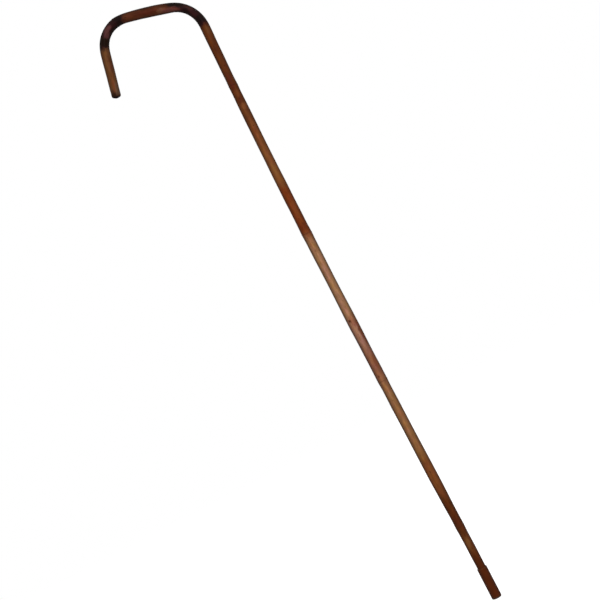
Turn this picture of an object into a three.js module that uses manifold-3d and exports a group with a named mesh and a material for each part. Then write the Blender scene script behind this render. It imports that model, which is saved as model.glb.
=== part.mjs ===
// A crook-handled walking cane: one bent rattan stick with a metal ferrule pinned on its foot.
//
// Frame, in millimetres: the cane stands upright, +Z up, with the origin at the centre of the face
// that meets the ground. The whole stick lies in the XZ plane and its crook points towards -X.
//
// The stick is turned straight, as a radius that varies along its length, and then bent: every point
// of the straight stick is carried onto a centreline that is walked up from the foot.

import * as THREE from 'three';
import { mergeVertices } from 'three/addons/utils/BufferGeometryUtils.js';
import Module from 'manifold-3d';

// ---- Driving dimensions -------------------------------------------------------------------------

const CLEARANCE = 0.3; // between a piece and the neighbour it is fitted into
const leadIn = 0.5; // chamfer on an end that enters another piece

// Ferrule
const ferruleLength = 45; // from the ground to the mouth of the sleeve
const ferruleDiameter = 13.8;
const sleeveWall = 0.85;
const sleeveChamfer = 0.7; // 45 degree shoulder at the mouth
const baseThickness = 1.8; // of the wearing disc below the sleeve
const baseEdge = 1.5; // radius of the worn edge round the ground face
const plugLength = 5; // of the part of the base that stands inside the sleeve

// Pin that holds the ferrule on the stick
const pinHeight = 30; // above the ground
const pinDiameter = 1.4;
const pinHeadDiameter = 2.6;
const pinHeadRise = 0.5;
const pinDepth = 3.6; // of the shank, from the sleeve's outside
const pinPointLength = 2; // of the tapered end of the shank
const drillReach = 3; // how far the drill that clears the pin starts outside the sleeve

// Centreline, walked up from the ground: the length of each stretch and how far it turns towards
// the crook. The small turns are the slight sweep of a stick that was straightened by hand.
const footSweep = { length: 60, turn: 0.73 };
const lowerShaft = { length: 450.3, turn: -1.15 };
const upperShaft = { length: 294, turn: -1.7 };
const backBend = { radius: 41.5, turn: 74 };
const crookBar = { length: 62.5, turn: 6.9 };
const frontBend = { radius: 37.1, turn: 88.2 };
const crookLeg = { length: 62.9, turn: 0 };

// Diameter of the stick at distances along the centreline, from the foot to the nose. A natural
// stick swells and narrows; between these it eases from one to the next.
const thicknesses = [
  [48, 11.5], // where the ferrule ends
  [70, 11.8],
  [95, 11.8],
  [186, 13.7],
  [300, 13],
  [358, 13.1],
  [398, 14],
  [475, 12.9],
  [545, 13.4],
  [700, 12.7],
  [770, 12],
  [815, 12.3],
  [852, 13.1], // at the foot of the back bend
  [888, 12.5], // in the back bend
  [930, 14.4], // on the bar
  [985, 13], // in the front bend
  [1020, 13.2],
  [1085, 12.5],
];

// Nose
const noseRound = 2.8; // radius of the worn edge round the nose
const noseCrown = 1; // how far the nose bulges inside that edge

// Growth rings of the rattan: low swellings, evenly spaced
const ringSpacing = 218;
const firstRing = 107; // height of the lowest one along the centreline
const ringRise = 0.25;
const ringHalfWidth = 7;

const sides = 28; // facets round the stick and the ferrule
const pinSides = 16; // facets round the pin and its drill
const bendStep = 7; // degrees of bend between two rings of facets
const shaftStep = 26; // length of shaft between two rings of facets
const leastStep = 2; // between any two rings of facets along the stick
const clearOfNose = 8; // length below the tip that the nose's own rings take up

// ---- Materials ----------------------------------------------------------------------------------

function paint(colour, roughness, metalness) {
  return new THREE.MeshStandardMaterial({ color: colour, roughness, metalness });
}

const stainedRattan = paint(0x7d4a2a, 0.45, 0);
const lacqueredMetal = paint(0x4e2412, 0.4, 0.35);
const wornSteel = paint(0x5a4c42, 0.5, 0.8);
const pinBrass = paint(0x8a6a3c, 0.4, 0.8);

// ---- Centreline ---------------------------------------------------------------------------------

const radians = THREE.MathUtils.degToRad;

function arc({ radius, turn }) {
  return { length: radius * radians(turn), turn };
}

const stretches = [
  { length: ferruleLength, turn: 0 },
  footSweep,
  lowerShaft,
  upperShaft,
  arc(backBend),
  crookBar,
  arc(frontBend),
  crookLeg,
];

// Adds to each stretch where it starts: its distance along, its place and its heading.
function layOut(list) {
  let along = 0;
  let place = new THREE.Vector2(0, 0);
  let heading = 0;
  return list.map(({ length, turn }) => {
    const stretch = { along, place, heading, length, turn: radians(turn) };
    place = walk(stretch, length);
    along += length;
    heading += stretch.turn;
    return stretch;
  });
}

// The place (towards the crook, up) a distance into a stretch of constant curvature.
function walk({ place, heading, length, turn }, distance) {
  const half = (turn * distance) / length / 2;
  const chord = Math.abs(half) < 1e-9 ? distance : (distance * Math.sin(half)) / half;
  return new THREE.Vector2(
    place.x + chord * Math.sin(heading + half),
    place.y + chord * Math.cos(heading + half),
  );
}

const route = layOut(stretches);
const stickLength = stretches.reduce((sum, stretch) => sum + stretch.length, 0);

// The centreline's place and its sideways direction, away from the crook, at a distance along it.
function centreline(along) {
  const stretch = route.findLast((one) => one.along <= along) ?? route[0];
  const distance = along - stretch.along;
  const place = walk(stretch, distance);
  const heading = stretch.heading + (stretch.turn * distance) / stretch.length;
  return {
    place: new THREE.Vector3(-place.x, 0, place.y),
    away: new THREE.Vector3(Math.cos(heading), 0, Math.sin(heading)),
  };
}

// Carries a shape turned about the Y axis onto the centreline: Y becomes the distance along it.
function bendAlongCentreline(geometry) {
  const points = geometry.getAttribute('position');
  for (let index = 0; index < points.count; index += 1) {
    const { place, away } = centreline(points.getY(index));
    place.addScaledVector(away, points.getX(index));
    place.y -= points.getZ(index);
    points.setXYZ(index, place.x, place.y, place.z);
  }
  geometry.computeVertexNormals();
  return geometry;
}

// ---- Turned pieces ------------------------------------------------------------------------------

// A solid turned about Y from corners of [radius, distance along].
function turned(corners, facets = sides) {
  return new THREE.LatheGeometry(
    corners.map(([radius, along]) => new THREE.Vector2(radius, along)),
    facets,
  );
}

// A quarter round between two directions, as corners of [radius, distance along].
function quarterRound(centreRadius, centreAlong, size, rise, from, to, steps) {
  return Array.from({ length: steps + 1 }, (_, step) => {
    const angle = radians(THREE.MathUtils.lerp(from, to, step / steps));
    return [centreRadius + size * Math.cos(angle), centreAlong + rise * Math.sin(angle)];
  });
}

// ---- The stick ----------------------------------------------------------------------------------

function stickRadius(along) {
  const beyond = thicknesses.findIndex(([place]) => place >= along);
  const next = beyond < 0 ? thicknesses.length - 1 : Math.max(1, beyond);
  const [endPlace, endDiameter] = thicknesses[next];
  const [startPlace, startDiameter] = thicknesses[next - 1];
  const blend = THREE.MathUtils.smoothstep(along, startPlace, endPlace);
  return THREE.MathUtils.lerp(startDiameter, endDiameter, blend) / 2 + ringSwelling(along);
}

function ringSwelling(along) {
  const nearest = Math.max(0, Math.round((along - firstRing) / ringSpacing));
  const offset = (along - firstRing - nearest * ringSpacing) / ringHalfWidth;
  return Math.abs(offset) < 1 ? ringRise * (1 - offset * offset) : 0;
}

// Distances along the stick that need a ring of corners.
function stickStations() {
  const stations = [];
  for (const stretch of route.slice(1)) {
    const count = Math.ceil(
      Math.max(stretch.turn / radians(bendStep), stretch.length / shaftStep),
    );
    for (let step = 0; step < count; step += 1) {
      stations.push(stretch.along + (stretch.length * step) / count);
    }
  }
  for (let ring = firstRing; ring < stickLength - clearOfNose; ring += ringSpacing) {
    for (const share of [-1, -0.5, 0, 0.5, 1]) {
      stations.push(ring + share * ringHalfWidth);
    }
  }
  const end = stickLength - clearOfNose;
  const inOrder = stations.filter((along) => along < end).sort((a, b) => a - b);
  return inOrder.filter((along, index) => index === 0 || along - inOrder[index - 1] > leastStep);
}

function makeStick() {
  const start = baseThickness + CLEARANCE + plugLength + CLEARANCE;
  const spigotRadius = stickRadius(0);
  const noseRadius = stickRadius(stickLength);
  const flatRadius = noseRadius - noseRound;
  const edgeHeight = stickLength - noseCrown - noseRound;
  return bendAlongCentreline(
    turned([
      [0, start],
      [spigotRadius - leadIn, start],
      [spigotRadius, start + leadIn],
      ...stickStations().map((along) => [stickRadius(along), along]),
      ...quarterRound(flatRadius, edgeHeight, noseRound, noseRound, 0, 75, 4),
      [flatRadius / 2, stickLength - noseCrown / 4],
      [0, stickLength],
    ]),
  );
}

// ---- The ferrule --------------------------------------------------------------------------------

const sleeveRadius = ferruleDiameter / 2;
const sleeveBore = sleeveRadius - sleeveWall;

// A drawn tube with a chamfered mouth, open at both ends.
function makeSleeve() {
  const bottom = baseThickness + CLEARANCE;
  return bendAlongCentreline(
    turned([
      [sleeveBore, bottom],
      [sleeveRadius, bottom],
      [sleeveRadius, ferruleLength - sleeveChamfer],
      [sleeveRadius - sleeveChamfer, ferruleLength],
      [sleeveBore, ferruleLength],
      [sleeveBore, bottom],
    ]),
  );
}

// A wearing disc with a worn edge, and a plug that closes the foot of the sleeve.
function makeBase() {
  const plugRadius = sleeveBore - CLEARANCE;
  const plugTop = baseThickness + CLEARANCE + plugLength;
  return bendAlongCentreline(
    turned([
      [0, 0],
      ...quarterRound(sleeveRadius - baseEdge, baseEdge, baseEdge, baseEdge, -90, 0, 4),
      [sleeveRadius, baseThickness],
      [plugRadius, baseThickness],
      [plugRadius, plugTop - leadIn],
      [plugRadius - leadIn, plugTop],
      [0, plugTop],
    ]),
  );
}

// A domed brad, driven towards -Y from the back of the ferrule. Its place is set on the mesh.
function makePin() {
  const shank = pinDiameter / 2;
  const dome = quarterRound(0, CLEARANCE, pinHeadDiameter / 2, pinHeadRise, 15, 75, 3);
  return turned(
    [
      [0, -pinDepth],
      [shank, -pinDepth + pinPointLength],
      [shank, CLEARANCE],
      [pinHeadDiameter / 2, CLEARANCE],
      ...dome,
      [0, CLEARANCE + pinHeadRise],
    ],
    pinSides,
  );
}

// ---- The pin's hole -----------------------------------------------------------------------------

const wasm = await Module();
wasm.setup();

function toSolid(geometry) {
  const bare = geometry.clone();
  bare.deleteAttribute('normal');
  bare.deleteAttribute('uv');
  const merged = mergeVertices(bare, 1e-4);
  return new wasm.Manifold(
    new wasm.Mesh({
      numProp: 3,
      vertProperties: new Float32Array(merged.getAttribute('position').array),
      triVerts: new Uint32Array(merged.index.array),
    }),
  );
}

function toGeometry(solid) {
  const { vertProperties, triVerts } = solid.getMesh();
  const geometry = new THREE.BufferGeometry();
  geometry.setAttribute('position', new THREE.BufferAttribute(new Float32Array(vertProperties), 3));
  geometry.setIndex(new THREE.BufferAttribute(new Uint32Array(triVerts), 1));
  geometry.computeVertexNormals();
  return geometry;
}

// The drill that clears the pin, from outside the sleeve to just past the pin's point.
function makeDrill() {
  const depth = pinDepth + CLEARANCE;
  const radius = pinDiameter / 2 + CLEARANCE;
  const drill = new THREE.CylinderGeometry(radius, radius, depth + drillReach, pinSides);
  return drill.translate(0, sleeveRadius + (drillReach - depth) / 2, pinHeight);
}

function drilled(geometry) {
  return toGeometry(toSolid(geometry).subtract(toSolid(makeDrill())));
}

// ---- The cane -----------------------------------------------------------------------------------

function piece(name, geometry, material) {
  const mesh = new THREE.Mesh(geometry, material);
  mesh.name = name;
  return mesh;
}

const pin = piece('ferrule_pin', makePin(), pinBrass);
pin.position.set(0, sleeveRadius, pinHeight);

const cane = new THREE.Group();
cane.add(
  piece('bent_stick', drilled(makeStick()), stainedRattan),
  piece('ferrule_sleeve', drilled(makeSleeve()), lacqueredMetal),
  piece('ferrule_base', makeBase(), wornSteel),
  pin,
);

export default cane;
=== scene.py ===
"""A bent rattan walking cane with a pinned metal ferrule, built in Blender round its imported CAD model.

The stick's middle line and its thickness are read off the CAD stick, and a fine mesh with the growth
rings, creases and unevenness of real rattan is laid along them. Every point of that mesh remembers
where it was on the straight stick, so that grain, stain and scorching follow the bends.
"""

import math

import bpy
import numpy as np
from mathutils import Matrix, Vector


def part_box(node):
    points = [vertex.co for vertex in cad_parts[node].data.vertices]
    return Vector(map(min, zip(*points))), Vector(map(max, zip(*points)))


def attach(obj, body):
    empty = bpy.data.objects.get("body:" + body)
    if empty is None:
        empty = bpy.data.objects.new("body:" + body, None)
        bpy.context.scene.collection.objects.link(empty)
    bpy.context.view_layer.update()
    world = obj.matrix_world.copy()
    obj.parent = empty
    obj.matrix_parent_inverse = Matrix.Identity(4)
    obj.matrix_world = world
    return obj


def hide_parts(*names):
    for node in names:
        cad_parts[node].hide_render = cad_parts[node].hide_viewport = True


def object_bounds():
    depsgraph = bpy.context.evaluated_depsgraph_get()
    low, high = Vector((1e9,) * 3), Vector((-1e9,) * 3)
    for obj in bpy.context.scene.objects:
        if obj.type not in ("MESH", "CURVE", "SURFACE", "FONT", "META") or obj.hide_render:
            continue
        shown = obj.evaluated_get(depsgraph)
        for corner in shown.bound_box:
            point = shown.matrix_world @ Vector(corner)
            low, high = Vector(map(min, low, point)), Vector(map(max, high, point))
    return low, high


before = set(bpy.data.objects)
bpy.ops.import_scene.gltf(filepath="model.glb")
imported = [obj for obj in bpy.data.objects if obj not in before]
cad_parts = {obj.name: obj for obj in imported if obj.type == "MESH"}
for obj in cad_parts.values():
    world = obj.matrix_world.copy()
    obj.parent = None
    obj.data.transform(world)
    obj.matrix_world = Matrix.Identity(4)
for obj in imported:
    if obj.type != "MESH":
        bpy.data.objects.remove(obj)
cad_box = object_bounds()

MM = 0.001

# One seed for each kind of unevenness
STICK_SEED = 11
DENT_SEED = 13
TREAD_SEED = 14
HAMMER_SEED = 15
CREASE_SEED = 16

# ---- Sizes --------------------------------------------------------------------------------------

# How the CAD stick is read
TRACE_STEP = 2 * MM
TRACE_REACH = 12 * MM  # farther than the stick's skin, nearer than its next bend
FEWEST_HITS = 9  # a slice that crosses fewer edges than this is past the stick's end
EASE = 9 * MM  # half the length over which a bend eases in

# The fine stick
STICK_SIDES = 72
SHAFT_STEP = 2.4 * MM
BEND_STEP = 1.1 * MM
RING_STEP = 0.45 * MM
RING_REACH = 5 * MM  # how near a growth ring the finest steps are used
LOOK_AHEAD = 1 * MM  # how far ahead of a step a growth ring is looked for
UNEVENNESS = 0.13 * MM
UNEVEN_LENGTH = 60 * MM
MOUTH_MARGIN = 4 * MM  # the stick stays even this far above the ferrule's mouth
MOUTH_FADE = 25 * MM

# The waves that unevenness is made of
WAVE_RANGE = (0.6, 1.8)  # the shortest and longest, as shares of the usual length
USUAL_PEAK = 1.4  # about how high their sum reaches, over the root of their number

# Growth rings
FIRST_RING = 107 * MM
RING_SPACING = 218 * MM
RING_COUNT = 5
RING_TILT = 0.9 * MM
RING_TWIST = 1.3  # how far the tilt turns from one ring to the next, in radians
RIDGE_HEIGHT = 0.26 * MM
RIDGE_WIDTH = 0.6 * MM
RING_LINE = 1.1 * RIDGE_WIDTH  # half the width of the dark line on each ring
GROOVE_OFFSET = 2.2 * RIDGE_WIDTH
GROOVE_DEPTH = 0.18 * MM
GROOVE_WIDTH = 0.8 * MM
SWELL_HEIGHT = 0.16 * MM
SWELL_WIDTH = 7 * MM

# Bends
BEND_RADIUS = 40 * MM  # a bend of this radius has a tightness of 1
TIGHTEST = 1.1
BENT = 0.2  # the tightness from which the stick counts as bent
BEND_FLATTENING = 0.03
CREASE_DEPTH = 0.09 * MM
CREASE_SPACING = 4.3 * MM
CREASE_DRIFT = 1.5  # how far the creases stray from even spacing, in radians
CREASE_DRIFT_LENGTH = 30 * MM

# Nose
NOSE_ROUND = 2.8 * MM
NOSE_TURN = 84  # degrees of the worn edge before the crown takes over
NOSE_CROWN = 1 * MM
NOSE_RINGS = 9
CROWN_RINGS = 7
CROWN_CENTRE = 0.06  # the innermost ring, as a share of the radius
SAWN_SHARE = 0.9  # the sawn end shows inside this share of the radius

# Ferrule
FERRULE_SIDES = 128
DENT_DEPTH = 0.1 * MM
DENT_LENGTH = 14 * MM
DENT_THRESHOLD = 0.75  # how high the unevenness has to reach to leave a dent

# Sleeve
SLEEVE_FIT = 0.02 * MM
SLEEVE_RINGS = 36
MOUTH_LAND = 0.25 * MM  # the flat rim that faces up the stick
MOUTH_ROUND = 0.15 * MM
MOUTH_LIP = (0.05 * MM, 0.1 * MM)  # width and depth of the bevel inside the mouth
ROUND_RINGS = 5
SHOULDER_ANGLE = 45
SOFT_ANGLE = 8  # where the round between wall and shoulder starts, in degrees
BORE_RING_HIGH = 2 * MM  # below the mouth
BORE_RING_LOW = 6 * MM  # above the sleeve's foot
SHOULDER_WEAR = 0.5 * MM
FOOT_WEAR = 0.8 * MM

# Tread
SEAM_GAP = 0.12 * MM
TREAD_ROUND = 1.6 * MM
TREAD_ROUND_RINGS = 12
TREAD_BEVEL = 0.1 * MM
FACE_CENTRE = 0.1  # the ground face's innermost ring, as a share of the radius
FACE_RINGS = 14
PLUG_SHARE = 0.9  # of the stick's radius
PLUG_HEIGHT = 4.5 * MM
PLUG_BEVEL = 0.4 * MM
TREAD_WEAR = 0.012
TREAD_WEAR_LENGTH = 9 * MM
RUBBED_HEIGHT = 0.6 * MM  # how far up the ground rubs the tread bright

# Brad
BRAD_SIDES = 40
BRAD_SINK = 0.05 * MM  # how far its head is driven into the sleeve
BRAD_RIM = 0.12 * MM
DOME_TURN = 80  # degrees of the dome before its flat centre
DOME_RINGS = 10
SHANK_SHARE = 0.5  # of the head's radius
POINT_RADIUS = 0.1 * MM
POINT_LENGTH = 1.6 * MM
HAMMER_MARKS = 0.03
HAMMER_LENGTH = 1.5 * MM

# ---- The CAD stick's middle line ----------------------------------------------------------------


def unit(vector):
    return vector / np.linalg.norm(vector)


def mesh_edges(node):
    """Both ends of every edge of a CAD node's mesh."""
    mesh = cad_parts[node].data
    points = np.array([vertex.co for vertex in mesh.vertices])
    ends = np.array([edge.vertices for edge in mesh.edges])
    return points[ends[:, 0]], points[ends[:, 1]]


def slice_edges(edges, place, heading):
    """Where the edges cross a plane through place, near place."""
    first, last = edges
    before = (first - place) @ heading
    after = (last - place) @ heading
    crossing = np.flatnonzero(before * after < 0)
    share = before[crossing] / (before[crossing] - after[crossing])
    hits = first[crossing] + share[:, None] * (last[crossing] - first[crossing])
    return hits[np.linalg.norm(hits - place, axis=1) < TRACE_REACH]


def trace_stick():
    """Walks up inside the CAD stick and returns the middles and radii of its slices, and its tip."""
    edges = mesh_edges("bent_stick")
    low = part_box("bent_stick")[0].z
    heading = np.array([0.0, 0.0, 1.0])
    place = np.array([0.0, 0.0, low + TRACE_STEP])
    middles = []
    radii = []
    hits = slice_edges(edges, place, heading)
    while len(hits) >= FEWEST_HITS:
        side = np.array([heading[2], 0.0, -heading[0]])
        across = (hits - place) @ side
        middle = place + side * (across.max() + across.min()) / 2
        if middles:
            heading = unit(middle - middles[-1])
        middles.append(middle)
        radii.append((across.max() - across.min()) / 2)
        place = middle + heading * TRACE_STEP
        hits = slice_edges(edges, place, heading)
    near = edges[0][np.linalg.norm(edges[0] - middles[-1], axis=1) < TRACE_REACH]
    tip = ((near - middles[-1]) @ heading).max()
    return np.array(middles), np.array(radii), tip


def smoothed(values, half_width):
    """A running average with soft ends to its window, which keeps the first and last value."""
    window = np.hanning(2 * half_width + 3)[1:-1]
    padded = np.pad(values, half_width, mode="edge")
    return np.convolve(padded, window / window.sum(), mode="valid")


class MiddleLine:
    """The stick's middle line: place, heading, bend and radius at a distance along it."""

    def __init__(self):
        middles, radii, tip = trace_stick()
        steps = np.diff(middles, axis=0)
        lengths = np.linalg.norm(steps, axis=1)
        start = middles[0][2]
        along = start + np.concatenate([[0.0], np.cumsum(lengths)])
        self.length = along[-1] + tip
        self.grid = np.arange(0.0, self.length + MM, MM)
        turn = np.arctan2(-steps[:, 0], steps[:, 2])
        turn = np.interp(self.grid, (along[1:] + along[:-1]) / 2, np.unwrap(turn))
        # The stick stands upright in the ferrule.
        turn[self.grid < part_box("ferrule_sleeve")[1].z] = 0.0
        half_width = int(EASE / MM)
        self.turn = smoothed(turn, half_width)
        self.bend = np.gradient(self.turn, MM)
        mean_turn = (self.turn[1:] + self.turn[:-1]) / 2
        self.x = -np.concatenate([[0.0], np.cumsum(np.sin(mean_turn) * MM)])
        self.z = np.concatenate([[0.0], np.cumsum(np.cos(mean_turn) * MM)])
        # The slices through the rounded nose don't say how thick the stick is.
        full = along < self.length - 2 * NOSE_ROUND
        radius = np.interp(self.grid, along[full], radii[full])
        self.skin = smoothed(radius, half_width)

    def at(self, along, values):
        return np.interp(along, self.grid, values)

    def radius(self, along):
        return self.at(along, self.skin)

    def tightness(self, along):
        """0 on the straight shaft, 1 in the bends."""
        return np.clip(self.at(along, self.bend) * BEND_RADIUS, 0.0, TIGHTEST)

    def carry(self, straight):
        """Takes points of the straight stick (away from the crook, sideways, along) to their places."""
        away, sideways, along = straight.T
        turn = self.at(along, self.turn)
        x = self.at(along, self.x) + away * np.cos(turn)
        z = self.at(along, self.z) + away * np.sin(turn)
        return np.stack([x, sideways, z], axis=1)


line = MiddleLine()

# ---- Mesh helpers -------------------------------------------------------------------------------


def ripple(along, around, seed, length, lobes, count=7):
    """Smooth unevenness between about -1 and 1 on a rod, from a few seeded waves.

    Length is the waves' usual length along the rod, and lobes the most of them round it.
    """
    dice = np.random.default_rng(seed)
    total = np.zeros(np.broadcast(along, around).shape)
    for _ in range(count):
        wave = length * dice.uniform(*WAVE_RANGE)
        turns = dice.integers(0, lobes + 1)
        phase = dice.uniform(0, 2 * math.pi)
        total += np.sin(2 * math.pi * along / wave + turns * around + phase)
    return total / math.sqrt(count) / USUAL_PEAK


def hump(distance, width):
    """A smooth bell: 1 at distance 0, and nearly 0 beyond two widths."""
    return np.exp(-((distance / width) ** 2))


def angles(sides):
    return np.arange(sides) / sides * 2 * math.pi


def turned_mesh(name, radius, along, around, closed=False, carry=line.carry):
    """A solid from rows of points: radius and along have one row for each ring, one column a side.

    A closed one is a tube whose last ring joins its first. An open one is capped at both ends.
    """
    rings, sides = radius.shape
    straight = np.stack([radius * np.cos(around), radius * np.sin(around), along], axis=2)
    straight = straight.reshape(-1, 3)
    faces = []
    for ring in range(rings if closed else rings - 1):
        low = ring * sides
        high = (ring + 1) % rings * sides
        for side in range(sides):
            beside = (side + 1) % sides
            faces.append((low + side, low + beside, high + beside, high + side))
    if not closed:
        last = (rings - 1) * sides
        foot, head = len(straight), len(straight) + 1
        ends = [straight[:sides].mean(axis=0), straight[last:].mean(axis=0)]
        straight = np.concatenate([straight, ends])
        for side in range(sides):
            beside = (side + 1) % sides
            faces.append((foot, beside, side))
            faces.append((head, last + side, last + beside))
    mesh = bpy.data.meshes.new(name)
    mesh.from_pydata(carry(straight).tolist(), [], faces)
    mesh.shade_smooth()
    attribute = mesh.attributes.new("straight", "FLOAT_VECTOR", "POINT")
    attribute.data.foreach_set("vector", straight.astype(np.float32).ravel())
    piece = bpy.data.objects.new(name, mesh)
    bpy.context.scene.collection.objects.link(piece)
    return piece


def add_value(piece, name, values):
    """Stores one number for each point. Values may leave out the two cap points at the end."""
    full = np.zeros(len(piece.data.vertices), np.float32)
    full[: values.size] = values.ravel()
    attribute = piece.data.attributes.new(name, "FLOAT", "POINT")
    attribute.data.foreach_set("value", full)


def arc(centre, size, start, end, count):
    """Points of an arc, as rows of (radius, along), from one angle in degrees to another."""
    angle = np.radians(np.linspace(start, end, count))
    return np.stack([centre[0] + size * np.cos(angle), centre[1] + size * np.sin(angle)], axis=1)


# ---- The stick ----------------------------------------------------------------------------------


def ring_places():
    return FIRST_RING + RING_SPACING * np.arange(RING_COUNT)


def from_ring(along, around):
    """Distance past the nearest growth ring, whose line runs slightly askew round the stick."""
    nearest = np.clip(np.round((along - FIRST_RING) / RING_SPACING), 0, RING_COUNT - 1)
    askew = RING_TILT * np.cos(around - RING_TWIST * nearest)
    return along - FIRST_RING - nearest * RING_SPACING - askew


def ring_relief(past):
    """A growth ring's fine ridge, the groove beside it and the low swell round both."""
    ridge = RIDGE_HEIGHT * hump(past, RIDGE_WIDTH)
    groove = GROOVE_DEPTH * hump(past - GROOVE_OFFSET, GROOVE_WIDTH)
    swell = SWELL_HEIGHT * hump(past, SWELL_WIDTH)
    return ridge - groove + swell


def crease_relief(along, around, tightness):
    """The small folds that a bend presses into the stick's inner side, which faces the crook."""
    inner = np.clip(-np.cos(around), 0.0, 1.0) ** 2
    drift = ripple(along, around, CREASE_SEED, CREASE_DRIFT_LENGTH, lobes=2)
    folds = np.sin(2 * math.pi * along / CREASE_SPACING + CREASE_DRIFT * drift)
    return CREASE_DEPTH * inner * tightness * folds


def stick_stations(start, end):
    """Distances along the stick for its rings of points: close together where it has detail."""
    stations = [start]
    rings = ring_places()
    while stations[-1] < end:
        here = stations[-1]
        step = SHAFT_STEP
        if line.tightness(here) > BENT:
            step = BEND_STEP
        if np.abs(here + LOOK_AHEAD - rings).min() < RING_REACH:
            step = RING_STEP
        stations.append(here + step)
    return np.array(stations[:-1] + [end])


def nose_profile():
    """The worn end: a rounded edge and a low crown, as rows of (share of the radius, along).

    Also gives the place along the stick where the rounding starts.
    """
    radius = line.radius(line.length)
    shoulder = line.length - NOSE_CROWN - NOSE_ROUND
    edge = arc((radius - NOSE_ROUND, shoulder), NOSE_ROUND, 0, NOSE_TURN, NOSE_RINGS)
    share = np.linspace(edge[-1, 0] / radius, CROWN_CENTRE, CROWN_RINGS)[1:]
    rise = edge[-1, 1] + (line.length - edge[-1, 1]) * (1 - (share * radius / edge[-1, 0]) ** 2)
    crown = np.stack([share * radius, rise], axis=1)
    return np.concatenate([edge[1:], crown]) / (radius, 1), shoulder


def make_stick():
    """The whole stick as one mesh, from its lower end in the ferrule to its nose."""
    nose, shoulder = nose_profile()
    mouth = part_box("ferrule_sleeve")[1].z
    stations = stick_stations(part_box("bent_stick")[0].z, shoulder)
    share = np.concatenate([np.ones(len(stations)), nose[:, 0]])[:, None]
    along = np.concatenate([stations, nose[:, 1]])[:, None]
    around = angles(STICK_SIDES)[None, :]
    tightness = line.tightness(along)
    past = from_ring(along, around)
    clear = np.clip((along - mouth - MOUTH_MARGIN) / MOUTH_FADE, 0.0, 1.0)
    uneven = UNEVENNESS * ripple(along, around, STICK_SEED, UNEVEN_LENGTH, lobes=3, count=12)
    oval = -BEND_FLATTENING * tightness * np.cos(2 * around)
    radius = line.radius(along) * (1 + oval)
    radius = radius + clear * (uneven + ring_relief(past))
    radius = radius + crease_relief(along, around, tightness)
    radius = radius * share
    along = np.broadcast_to(along, radius.shape)
    piece = turned_mesh("rattan_stick", radius, along, around)
    add_value(piece, "ring", hump(past, RING_LINE))
    add_value(piece, "bend", np.broadcast_to(tightness, radius.shape))
    add_value(piece, "end_grain", np.broadcast_to(share < SAWN_SHARE, radius.shape) * 1.0)
    return piece


# ---- The ferrule --------------------------------------------------------------------------------


def ferrule_sizes():
    """The sleeve's outer radius, and the heights of its foot and its mouth."""
    low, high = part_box("ferrule_sleeve")
    return (high.x - low.x) / 2, low.z, high.z


def dents(along, around):
    """Shallow knocks, where the unevenness is highest."""
    uneven = ripple(along, around, DENT_SEED, DENT_LENGTH, lobes=4, count=9)
    return -DENT_DEPTH * np.clip(uneven - DENT_THRESHOLD, 0.0, 1.0)


def make_sleeve():
    """The drawn tube, closed into a loop: foot, wall, shoulder, land, then down the bore."""
    outer, low, high = ferrule_sizes()
    inner = line.radius(high) + SLEEVE_FIT
    land = inner + MOUTH_LAND
    chamfer = outer - land
    shoulder = high - chamfer
    walls = np.linspace(low + 2 * MOUTH_ROUND, shoulder - MOUTH_ROUND, SLEEVE_RINGS)
    rounded = outer - MOUTH_ROUND
    lip_width, lip_depth = MOUTH_LIP
    profile = np.concatenate([
        arc((rounded, low + MOUTH_ROUND), MOUTH_ROUND, -90, 0, ROUND_RINGS),
        np.stack([np.full(len(walls), outer), walls], axis=1),
        arc((rounded, shoulder), MOUTH_ROUND, SOFT_ANGLE, SHOULDER_ANGLE, ROUND_RINGS),
        arc((land, high - MOUTH_ROUND), MOUTH_ROUND, SHOULDER_ANGLE, 90, ROUND_RINGS),
        [[inner + lip_width, high], [inner, high - lip_depth], [inner, high - BORE_RING_HIGH]],
        [[inner, low + BORE_RING_LOW], [inner, low]],
    ])
    around = angles(FERRULE_SIDES)[None, :]
    radius, along = profile[:, :1], profile[:, 1:]
    skin = np.clip((radius - land) / (outer - land), 0.0, 1.0)
    radius = radius + skin * dents(along, around)
    along = np.broadcast_to(along, radius.shape)
    piece = turned_mesh("ferrule_tube", radius, along, around, closed=True)
    worn = np.maximum(hump(along - shoulder, SHOULDER_WEAR), hump(along - low, FOOT_WEAR))
    add_value(piece, "edge", worn * skin)
    return piece


def make_tread():
    """The wearing disc on the ground, with the plug that stands up inside the sleeve."""
    outer, sleeve_low, _ = ferrule_sizes()
    top = sleeve_low - SEAM_GAP
    plug = line.radius(sleeve_low) * PLUG_SHARE
    edge = arc((outer - TREAD_ROUND, TREAD_ROUND), TREAD_ROUND, -90, 0, TREAD_ROUND_RINGS)
    face = np.linspace(FACE_CENTRE * outer, edge[0, 0], FACE_RINGS)[:-1]
    plug_top = top + PLUG_HEIGHT
    profile = np.concatenate([
        np.stack([face, np.zeros(len(face))], axis=1),
        edge,
        [[outer, top - TREAD_BEVEL], [outer - TREAD_BEVEL, top], [plug, top]],
        [[plug, plug_top], [plug - PLUG_BEVEL, plug_top + PLUG_BEVEL]],
    ])
    around = angles(FERRULE_SIDES)[None, :]
    radius, along = profile[:, :1], profile[:, 1:]
    skin = np.clip((radius - plug) / (outer - plug), 0.0, 1.0)
    wear = 1 + TREAD_WEAR * skin * ripple(along, around, TREAD_SEED, TREAD_WEAR_LENGTH, lobes=5)
    along = np.broadcast_to(along, wear.shape)
    piece = turned_mesh("ferrule_tread", radius * wear, along, around)
    add_value(piece, "ground", np.clip(1 - along / RUBBED_HEIGHT, 0.0, 1.0))
    return piece


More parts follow.
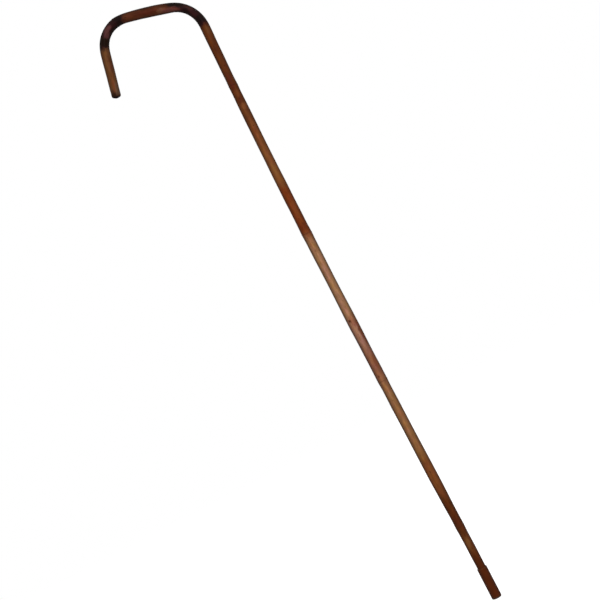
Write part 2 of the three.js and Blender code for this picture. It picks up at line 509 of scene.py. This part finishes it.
def make_brad():
    """The domed brad on the far side, with its shank in the stick."""
    low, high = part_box("ferrule_pin")
    outer, _, _ = ferrule_sizes()
    head = (high.x - low.x) / 2
    shank = head * SHANK_SHARE
    seat = outer - BRAD_SINK
    rim = seat + BRAD_RIM
    dome = arc((0, 0), 1.0, 0, DOME_TURN, DOME_RINGS) * (head, high.y - rim) + (0, rim)
    profile = np.concatenate([
        [[POINT_RADIUS, low.y], [shank, low.y + POINT_LENGTH], [shank, seat], [head, seat]],
        dome,
    ])
    around = angles(BRAD_SIDES)[None, :]
    radius, depth = profile[:, :1], profile[:, 1:]
    knocks = ripple(depth, around, HAMMER_SEED, HAMMER_LENGTH, lobes=4)
    radius = radius * (1 + HAMMER_MARKS * knocks * (depth > seat))
    depth = np.broadcast_to(depth, radius.shape)
    middle = (low.z + high.z) / 2

    def drive(straight):
        """Lays the brad along +Y at its height on the ferrule."""
        return np.stack([straight[:, 1], straight[:, 2], straight[:, 0] + middle], axis=1)

    return turned_mesh("ferrule_brad", radius, depth, around, carry=drive)


# ---- Node graphs --------------------------------------------------------------------------------


def srgb(red, green, blue):
    """A colour as screens state it, 0 to 255, in the linear numbers that nodes take."""
    def linear(value):
        share = value / 255
        return share / 12.92 if share < 0.04045 else ((share + 0.055) / 1.055) ** 2.4
    return (linear(red), linear(green), linear(blue), 1.0)


USUAL_NOISE = (0.3, 0.7)  # where nearly all of a noise's values lie


class Paint:
    """A material's node graph. Each method adds to it and gives back the output it added."""

    def __init__(self, name):
        self.material = bpy.data.materials.new(name)
        self.material.use_nodes = True
        self.tree = self.material.node_tree
        self.tree.nodes.clear()

    def node(self, kind, inputs=None, output=0, **settings):
        """Adds a node. Each of its inputs takes a value or another node's output."""
        node = self.tree.nodes.new(kind)
        for name, value in settings.items():
            setattr(node, name, value)
        for name, value in (inputs or {}).items():
            if isinstance(value, bpy.types.NodeSocket):
                self.tree.links.new(value, node.inputs[name])
            else:
                node.inputs[name].default_value = value
        return node.outputs[output] if len(node.outputs) else None

    def attribute(self, name, output="Fac"):
        return self.node("ShaderNodeAttribute", output=output, attribute_name=name)

    def math(self, operation, *values):
        return self.node("ShaderNodeMath", dict(enumerate(values)), operation=operation)

    def times(self, first, second):
        return self.math("MULTIPLY", first, second)

    def noise(self, place, across, along, detail, roughness, output=0):
        """Noise with so many cells to the metre across the straight stick and along it."""
        scaled = self.node(
            "ShaderNodeMapping",
            {"Vector": place, "Scale": (across, across, along)},
        )
        return self.node(
            "ShaderNodeTexNoise",
            {"Vector": scaled, "Scale": 1.0, "Detail": detail, "Roughness": roughness},
            output=output,
        )

    def spread(self, value, low, high, to_low=0.0, to_high=1.0):
        """Maps low..high onto to_low..to_high, held at both ends."""
        return self.node(
            "ShaderNodeMapRange",
            {"Value": value, "From Min": low, "From Max": high, "To Min": to_low, "To Max": to_high},
        )

    def vary(self, noise, low, high):
        """Maps the values that a noise usually takes onto low..high."""
        return self.spread(noise, *USUAL_NOISE, low, high)

    def grey(self, level):
        return self.node("ShaderNodeCombineColor", {0: level, 1: level, 2: level})

    def mix(self, first, second, share, blend="MIX"):
        return self.node(
            "ShaderNodeMix",
            {0: share, 6: first, 7: second},
            output=2,
            data_type="RGBA",
            blend_type=blend,
        )

    def shade(self, tone, noise, dark, light):
        """Darkens and lightens a tone with a noise."""
        return self.mix(tone, self.grey(self.vary(noise, dark, light)), 1.0, "MULTIPLY")

    def cast(self, tone, value, low, high, colour):
        """Multiplies a tone by a colour where a value is high."""
        return self.mix(tone, (*colour, 1.0), self.spread(value, low, high), "MULTIPLY")

    def lay(self, tone, colour, share, strength):
        """Lays a colour over a tone where share is high."""
        return self.mix(tone, colour, self.times(share, strength))

    def ramp(self, value, stops):
        """A colour ramp from (place, colour) pairs."""
        node = self.tree.nodes.new("ShaderNodeValToRGB")
        elements = node.color_ramp.elements
        for _ in stops[len(elements):]:
            elements.new(1.0)
        for element, (place, colour) in zip(elements, stops):
            element.position = place
            element.color = colour
        self.tree.links.new(value, node.inputs[0])
        return node.outputs[0]

    def bump(self, height, strength, distance, normal=None):
        inputs = {"Height": height, "Strength": strength, "Distance": distance}
        if normal is not None:
            inputs["Normal"] = normal
        return self.node("ShaderNodeBump", inputs)

    def finish(self, **inputs):
        """Wires the inputs to the shader that it ends in, and gives back the material."""
        values = {name.replace("_", " "): value for name, value in inputs.items()}
        shader = self.node("ShaderNodeBsdfPrincipled", values)
        self.node("ShaderNodeOutputMaterial", {"Surface": shader})
        return self.material


TONE_RANGE = (0.03, 0.17)  # the grey levels of the darkest and the palest tones
VARNISH_AND_EDGE_SHADE = (0.9, 2.1)  # over the darkest and over the palest tones
# A pale painted sheen: a painted reflection where the surface is seen edge on
PAINTED_SHEEN = (0.25, 0.2, 0.17, 1.0)
PAINTED_SHEEN_SHARE = 0.1  # where the surface is seen edge on


def edge_shade_and_sheen(paint, tone):
    """Tinted varnish looks darker where it is seen aslant, because more of it lies in the way; this
    darkening towards the edges is also painted shade.

    A pale painted sheen, a painted reflection, is laid there too.
    """
    slant = paint.node("ShaderNodeLayerWeight", {"Blend": 0.5}, output=1)
    paleness = paint.node("ShaderNodeRGBToBW", {0: tone})
    depth = paint.spread(paleness, *TONE_RANGE, *VARNISH_AND_EDGE_SHADE)
    # Painted shade: the tone darkens towards the edges, partly for the real depth of tinted varnish
    clear = paint.math("EXPONENT", paint.times(slant, paint.times(depth, -1.0)))
    tone = paint.mix(tone, paint.grey(clear), 1.0, "MULTIPLY")
    # Painted sheen: a pale painted reflection where the surface is seen edge on
    return paint.lay(tone, PAINTED_SHEEN, slant, PAINTED_SHEEN_SHARE)


# ---- The stick's finish -------------------------------------------------------------------------

# Stain tones; ash, hazel, mauve and rose serve only painted highlights, plum serves both
TONES = {
    "char": srgb(18, 8, 6),
    "bitumen": srgb(24, 10, 3),
    "scorch": srgb(38, 14, 15),
    "garnet": srgb(70, 26, 13),
    "plum": srgb(84, 47, 47),
    "mauve": srgb(80, 43, 37),
    "rose": srgb(98, 54, 47),
    "cocoa": srgb(84, 39, 14),
    "brick": srgb(82, 32, 17),
    "umber": srgb(79, 38, 18),
    "russet": srgb(91, 45, 16),
    "leather": srgb(101, 63, 34),
    "hazel": srgb(98, 61, 45),
    "ash": srgb(97, 72, 56),
    "chestnut": srgb(100, 55, 25),
    "rust": srgb(114, 53, 20),
    "amber": srgb(126, 73, 37),
    "honey": srgb(120, 72, 36),
    "bronze": srgb(136, 91, 50),
    "clay": srgb(141, 90, 67),
    "fawn": srgb(147, 102, 66),
    "blush": srgb(156, 111, 91),
    "sand": srgb(161, 117, 81),
}

# Where along the stick, in millimetres from the ground, each tone is reached
STAIN = [
    (56, "cocoa"),
    (64, "russet"),
    (72, "chestnut"),
    (90, "chestnut"),
    (102, "russet"),
    (142, "russet"),
    (172, "amber"),
    (200, "amber"),
    (214, "bronze"),
    (250, "fawn"),
    (314, "fawn"),
    (334, "clay"),
    (360, "clay"),
    (385, "blush"),
    (408, "blush"),
    (422, "sand"),
    (531, "sand"),
    (544, "rust"),
    (607, "rust"),
    (616, "honey"),
    (662, "honey"),
    (700, "chestnut"),
    (733, "chestnut"),
    (741, "russet"),
    (846, "russet"),
    (852, "scorch"),
    (903, "scorch"),
    (908, "umber"),
    (966, "umber"),
    (969, "scorch"),
    (1018, "scorch"),
    (1022, "leather"),
]

# Patches of another tone on the side that faces -Y: millimetres from the ground, millimetres across
# (towards the outside of the bends), length, width, tone and strength. The ash, hazel, plum, mauve
# and rose patches are painted highlights.
PATCHES = [
    (1084, 1.5, 17, 16, "bitumen", 0.85),
    # Painted highlight: the ash patch stands in for a small greyish reflection near the nose
    (1074, -3.4, 20, 6, "ash", 0.7),
    (1068, -0.5, 18, 5, "rust", 0.5),
    (1056, 0.0, 12, 9, "umber", 0.3),
    (1041, -4.0, 26, 6, "umber", 0.6),
    (1010, 0.0, 15, 30, "bitumen", 0.95),
    (1001, 5.8, 28, 7, "char", 0.9),
    # Painted highlights: these two plum patches stand in for glossy reflections on the bend
    (999, -1.6, 13, 8, "plum", 0.75),
    (993, 1.0, 14, 8, "plum", 0.95),
    (985, -5.8, 26, 7, "char", 0.85),
    (974, 0.0, 13, 26, "char", 0.85),
    (938, 5.4, 34, 6, "bitumen", 0.5),
    (936, -0.6, 34, 8, "garnet", 0.7),
    # Painted highlight: the hazel patch stands in for a greyish reflection on the crook's bar
    (916, -2.2, 13, 8, "hazel", 0.9),
    (898, 4.3, 27, 10, "char", 1.0),
    # Painted highlight: the rose patch stands in for a pale reflection along the bend's inner side
    (902, -3.6, 24, 8, "rose", 0.9),
    (881, -3.0, 12, 7, "char", 0.7),
    # Painted highlights: the two mauve patches stand in for reflections on the bend
    (880, 2.6, 16, 6, "mauve", 0.35),
    (871, -0.8, 24, 7, "mauve", 0.1),
    (859, 0.0, 12, 28, "char", 0.8),
    (841, 1.5, 14, 7, "leather", 0.6),
    (813, 0.5, 24, 6, "umber", 0.6),
    (766, -1.0, 26, 8, "brick", 0.75),
    (751, 0.0, 10, 8, "amber", 0.3),
    (739, -0.5, 12, 7, "brick", 0.6),
    (731, 1.0, 12, 8, "amber", 0.7),
    (696, 0.5, 34, 8, "amber", 0.6),
    (638, 0.0, 24, 7, "bronze", 0.6),
    (553, 0.0, 14, 9, "brick", 0.35),
    (578, 1.0, 28, 7, "amber", 0.35),
    (524, 0.0, 24, 9, "bronze", 0.45),
    (486, -1.0, 26, 6, "blush", 0.6),
    (440, -0.5, 34, 6, "blush", 0.45),
    (412, 0.5, 18, 9, "clay", 1.0),
    (414, -2.7, 6, 4.4, "umber", 1.0),
    (400, 3.0, 4, 3, "umber", 0.6),
    (395, 5.0, 60, 5, "rust", 0.8),
    (350, 3.5, 26, 6, "rust", 0.4),
    (332, -2.6, 5, 3, "umber", 0.8),
    (308, 0.0, 24, 8, "sand", 0.4),
    (116, 0.0, 18, 9, "brick", 0.4),
    (82, -1.0, 18, 7, "bronze", 0.45),
]

# How far the borders of the tones stray: with the wandering noise, and fibre by fibre
WANDER = (6 * MM, 6 * MM, 9 * MM)
FIBRE_STRAY = 9 * MM
RAGGEDNESS = 0.35  # as a share of a patch's size
PATCH_EDGE = (0.6, 1.15)  # a patch fades out between these shares of its size

FAR_FADE = 4 * MM  # how far behind the middle the far side's blotches reach full strength

# Colours that multiply the stain
OLIVE_CAST = (1.0, 1.0, 0.84)
ROSE_CAST = (1.03, 0.96, 1.12)
EMBER_CAST = (1.0, 0.82, 0.7)


def stain_along(paint, along):
    stops = [(place * MM / line.length, TONES[tone]) for place, tone in STAIN]
    return paint.ramp(paint.math("DIVIDE", along, line.length), stops)


def in_patch(paint, place, ragged, along, across, length, width):
    """1 inside a soft oval on the stick's skin, 0 outside it. Ragged moves its edge in or out."""
    radius = line.radius(along * MM) / MM
    depth = -math.sqrt(max(radius ** 2 - across ** 2, 0.0))
    shifted = paint.node(
        "ShaderNodeMapping",
        {
            "Vector": place,
            "Location": (across * MM, depth * MM, along * MM),
            "Scale": (width / 2 * MM, width / 2 * MM, length / 2 * MM),
        },
        vector_type="TEXTURE",
    )
    distance = paint.node("ShaderNodeVectorMath", {0: shifted}, output=1, operation="LENGTH")
    return paint.spread(paint.math("ADD", distance, ragged), *PATCH_EDGE, to_low=1.0, to_high=0.0)


def stained(paint, straight):
    """The stain's tones along the stick and its patches, some of them painted highlights.

    Their borders wander and fray.
    """
    # The noise's colour, centred on zero, moves the place where a point looks up its tone.
    wander = paint.noise(straight, across=150, along=90, detail=3, roughness=0.5, output=1)
    wander = paint.node(
        "ShaderNodeVectorMath",
        {0: wander, 1: (-0.5, -0.5, -0.5)},
        operation="ADD",
    )
    place = paint.node(
        "ShaderNodeVectorMath",
        {0: wander, 1: WANDER, 2: straight},
        operation="MULTIPLY_ADD",
    )
    ragged = paint.noise(straight, across=1500, along=260, detail=3, roughness=0.6)
    ragged = paint.spread(ragged, 0.25, 0.75, to_low=-RAGGEDNESS, to_high=RAGGEDNESS)
    along = paint.node("ShaderNodeSeparateXYZ", {0: place}, output=2)
    along = paint.math("MULTIPLY_ADD", ragged, FIBRE_STRAY, along)
    tone = stain_along(paint, along)
    for spot_along, across, length, width, name, strength in PATCHES:
        share = in_patch(paint, place, ragged, spot_along, across, length, width)
        tone = paint.lay(tone, TONES[name], share, strength)
    return tone


def blotched(paint, tone, straight):
    """The heated bends are blotched on the far side, where there are no patches."""
    far = paint.node("ShaderNodeSeparateXYZ", {0: straight}, output=1)
    heated = paint.times(paint.spread(far, 0.0, FAR_FADE), paint.attribute("bend"))
    blotches = paint.noise(straight, across=120, along=48, detail=2, roughness=0.5)
    plum = paint.times(paint.spread(blotches, low=0.5, high=0.62), heated)
    tone = paint.lay(tone, TONES["plum"], plum, strength=0.6)
    char = paint.times(paint.spread(blotches, low=0.48, high=0.36), heated)
    return paint.lay(tone, TONES["char"], char, strength=0.7)


def mottled(paint, tone, straight):
    """Cloudy mottling: olive, rose and orange casts, and light and dark."""
    casts = paint.noise(straight, across=210, along=105, detail=2, roughness=0.5)
    tone = paint.cast(tone, casts, low=0.5, high=0.66, colour=OLIVE_CAST)
    tone = paint.cast(tone, casts, low=0.5, high=0.34, colour=ROSE_CAST)
    embers = paint.noise(straight, across=240, along=70, detail=3, roughness=0.6)
    tone = paint.cast(tone, embers, low=0.56, high=0.7, colour=EMBER_CAST)
    clouds = paint.noise(straight, across=330, along=110, detail=3, roughness=0.6)
    return paint.shade(tone, clouds, dark=0.8, light=1.2)


def stained_rattan():
    paint = Paint("stained_rattan")
    straight = paint.attribute("straight", "Vector")
    tone = stained(paint, straight)
    tone = blotched(paint, tone, straight)
    tone = mottled(paint, tone, straight)

    # Streaks of fibre, coarse and fine.
    streaks = paint.noise(straight, across=900, along=14, detail=3, roughness=0.6)
    tone = paint.shade(tone, streaks, dark=0.85, light=1.13)
    fibres = paint.noise(straight, across=3000, along=90, detail=2, roughness=0.6)
    tone = paint.shade(tone, fibres, dark=0.86, light=1.12)

    # Dark specks, and the dark line on each growth ring.
    specks = paint.noise(straight, across=560, along=190, detail=2, roughness=0.5)
    specks = paint.spread(specks, low=0.69, high=0.77)
    tone = paint.lay(tone, TONES["char"], specks, strength=0.7)
    tone = paint.lay(tone, TONES["scorch"], paint.attribute("ring"), strength=0.35)

    # The sawn end: dark, with the open pores of the cane.
    end_grain = paint.attribute("end_grain")
    pores = paint.node(
        "ShaderNodeTexVoronoi",
        {"Vector": straight, "Scale": 1900.0, "Randomness": 0.9},
        feature="F1",
    )
    pores = paint.spread(pores, low=0.18, high=0.42)
    end_tone = paint.mix(TONES["char"], TONES["scorch"], pores)
    tone = paint.mix(tone, end_tone, end_grain)
    # Painted shade and a pale painted sheen where the stick is seen edge on
    tone = edge_shade_and_sheen(paint, tone)

    # Satin varnish, rubbed in places.
    rubbed = paint.noise(straight, across=160, along=50, detail=4, roughness=0.65)
    relief = paint.math("ADD", paint.times(streaks, 0.6), fibres)
    normal = paint.bump(relief, strength=0.35, distance=0.06 * MM)
    normal = paint.bump(paint.times(specks, -1.0), strength=0.5, distance=0.12 * MM, normal=normal)
    pits = paint.times(pores, end_grain)
    normal = paint.bump(pits, strength=0.6, distance=0.15 * MM, normal=normal)
    return paint.finish(
        Base_Color=tone,
        Roughness=paint.vary(rubbed, low=0.42, high=0.6),
        Normal=normal,
        Specular_IOR_Level=0.03,
    )


# ---- The ferrule's finishes ---------------------------------------------------------------------


def lacquered_metal():
    paint = Paint("lacquered_metal")
    straight = paint.attribute("straight", "Vector")
    edge = paint.attribute("edge")
    lacquer = srgb(86, 36, 10)
    bare = srgb(120, 84, 50)
    clouds = paint.noise(straight, across=160, along=90, detail=4, roughness=0.6)
    tone = paint.shade(lacquer, clouds, dark=0.82, light=1.15)

    # The lacquer is chipped at the edges and scratched round the tube.
    chips = paint.noise(straight, across=900, along=900, detail=3, roughness=0.6)
    chips = paint.times(edge, paint.spread(chips, low=0.45, high=0.6))
    scratches = paint.noise(straight, across=300, along=2600, detail=2, roughness=0.55)
    scratches = paint.times(paint.spread(scratches, low=0.66, high=0.72), 0.3)
    worn = paint.math("MAXIMUM", chips, scratches)
    tone = paint.lay(tone, bare, worn, strength=0.6)
    # Painted shade and a pale painted sheen where the tube is seen edge on
    tone = edge_shade_and_sheen(paint, tone)
    return paint.finish(
        Base_Color=tone,
        Roughness=paint.vary(clouds, low=0.36, high=0.5),
        Metallic=paint.times(worn, 0.7),
        Normal=paint.bump(worn, strength=0.3, distance=-0.05 * MM),
        Specular_IOR_Level=0.04,
    )


def scuffed_steel():
    paint = Paint("scuffed_steel")
    straight = paint.attribute("straight", "Vector")
    ground = paint.attribute("ground")
    stained_steel = srgb(66, 34, 20)
    rubbed_steel = srgb(112, 94, 80)
    tone = paint.mix(stained_steel, rubbed_steel, ground)
    clouds = paint.noise(straight, across=420, along=420, detail=5, roughness=0.65)
    tone = paint.shade(tone, clouds, dark=0.6, light=1.25)
    grit = paint.noise(straight, across=2400, along=400, detail=3, roughness=0.7)
    return paint.finish(
        Base_Color=tone,
        Roughness=paint.vary(grit, low=0.42, high=0.7),
        Metallic=paint.times(ground, 0.7),
        Normal=paint.bump(grit, strength=0.5, distance=0.08 * MM),
    )


def dull_brass():
    paint = Paint("dull_brass")
    straight = paint.attribute("straight", "Vector")
    tarnished = srgb(96, 62, 32)
    clean = srgb(140, 104, 58)
    clouds = paint.noise(straight, across=1500, along=1500, detail=4, roughness=0.6)
    return paint.finish(
        Base_Color=paint.mix(tarnished, clean, paint.spread(clouds, low=0.4, high=0.65)),
        Roughness=paint.vary(clouds, low=0.32, high=0.5),
        Metallic=0.85,
        Normal=paint.bump(clouds, strength=0.25, distance=0.06 * MM),
    )


# ---- Assembly -----------------------------------------------------------------------------------

PIECES = [
    (make_stick, "bent_stick", "stick", stained_rattan),
    (make_sleeve, "ferrule_sleeve", "ferrule", lacquered_metal),
    (make_tread, "ferrule_base", "ground_face", scuffed_steel),
    (make_brad, "ferrule_pin", "brad", dull_brass),
]

for make, node, slot, finish_of in PIECES:
    piece = make()
    piece.data.materials.append(finish_of())
    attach(piece, "root")
    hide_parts(node)

# ---- Studio -------------------------------------------------------------------------------------

FLOOR_SIZE = 6.0
FLOOR_DROP = 0.2 * MM  # below the ferrule's sole, so that the two surfaces don't coincide
FLOOR_GREY = (0.55, 0.55, 0.55, 1.0)
FLOOR_GLOW = 0.92
BACKDROP_SEEN = 1.0  # how bright the camera sees the backdrop
BACKDROP_GIVEN = 0.45  # how bright it is to everything that reflects it
LENS = 90.0
SENSOR = 36.0
PICTURE_WIDTH = 0.7928  # what the picture spans at the cane, in metres
LEAN = math.radians(27.44)  # how far the cane leans to the left in the picture
FRAMING = Vector((0.0176, 0.0, 0.0122))  # from the cane's middle to the picture's middle

# The one lamp, in the camera's own axes: above it, and a little to its left and behind it
KEY_PLACE = Vector((-0.1, 0.95, 0.1))
KEY_SIZE = 1.2
KEY_POWER = 34


def make_floor():
    """A white floor that the camera sees as bright as the backdrop, apart from soft shadows."""
    paint = Paint("floor_white")
    camera_ray = paint.node("ShaderNodeLightPath")
    diffuse = paint.node("ShaderNodeBsdfDiffuse", {"Color": FLOOR_GREY})
    glow = paint.node("ShaderNodeEmission", {"Strength": paint.times(camera_ray, FLOOR_GLOW)})
    both = paint.node("ShaderNodeAddShader", {0: diffuse, 1: glow})
    paint.node("ShaderNodeOutputMaterial", {"Surface": both})
    half = FLOOR_SIZE / 2
    mesh = bpy.data.meshes.new("floor")
    corners = [(-half, -half, 0), (half, -half, 0), (half, half, 0), (-half, half, 0)]
    mesh.from_pydata(corners, [], [(0, 1, 2, 3)])
    mesh.materials.append(paint.material)
    floor = bpy.data.objects.new("floor", mesh)
    floor.location.z = -FLOOR_DROP
    bpy.context.scene.collection.objects.link(floor)


def make_backdrop():
    """A white backdrop for the camera, and a dimmer room for everything that reflects it."""
    world = bpy.data.worlds.new("studio")
    world.use_nodes = True
    nodes, links = world.node_tree.nodes, world.node_tree.links
    background = nodes["Background"]
    background.inputs["Color"].default_value = (1.0, 1.0, 1.0, 1.0)
    path = nodes.new("ShaderNodeLightPath")
    level = nodes.new("ShaderNodeMapRange")
    level.inputs["To Min"].default_value = BACKDROP_GIVEN
    level.inputs["To Max"].default_value = BACKDROP_SEEN
    links.new(path.outputs["Is Camera Ray"], level.inputs["Value"])
    links.new(level.outputs[0], background.inputs["Strength"])
    bpy.context.scene.world = world


def aim(thing, place, target):
    thing.location = place
    thing.rotation_euler = (target - place).to_track_quat("-Z", "Y").to_euler()


def add_key_light(camera, subject):
    """A soft lamp carried by the camera, so that whichever side is looked at is lit the same way."""
    light = bpy.data.lights.new("key", "AREA")
    light.shape = "DISK"
    light.size = KEY_SIZE
    light.energy = KEY_POWER
    lamp = bpy.data.objects.new("key", light)
    bpy.context.scene.collection.objects.link(lamp)
    lamp.parent = camera
    aim(lamp, KEY_PLACE, subject)


def make_camera(centre):
    """A camera level with the cane and turned by its lean. Gives it and its distance."""
    camera = bpy.data.cameras.new("camera")
    camera.lens = LENS
    camera.sensor_width = SENSOR
    holder = bpy.data.objects.new("camera", camera)
    bpy.context.scene.collection.objects.link(holder)
    distance = PICTURE_WIDTH * LENS / SENSOR
    target = centre + FRAMING
    aim(holder, target - Vector((0.0, distance, 0.0)), target)
    upright = holder.rotation_euler.to_matrix()
    holder.rotation_euler = (upright @ Matrix.Rotation(-LEAN, 3, "Z")).to_euler()
    bpy.context.scene.camera = holder
    return holder, distance


def make_studio():
    low, high = cad_box
    centre = (low + high) / 2
    bpy.context.scene.view_settings.view_transform = "Standard"
    make_floor()
    make_backdrop()
    camera, distance = make_camera(centre)
    add_key_light(camera, subject=Vector((0.0, 0.0, -distance)))


make_studio()
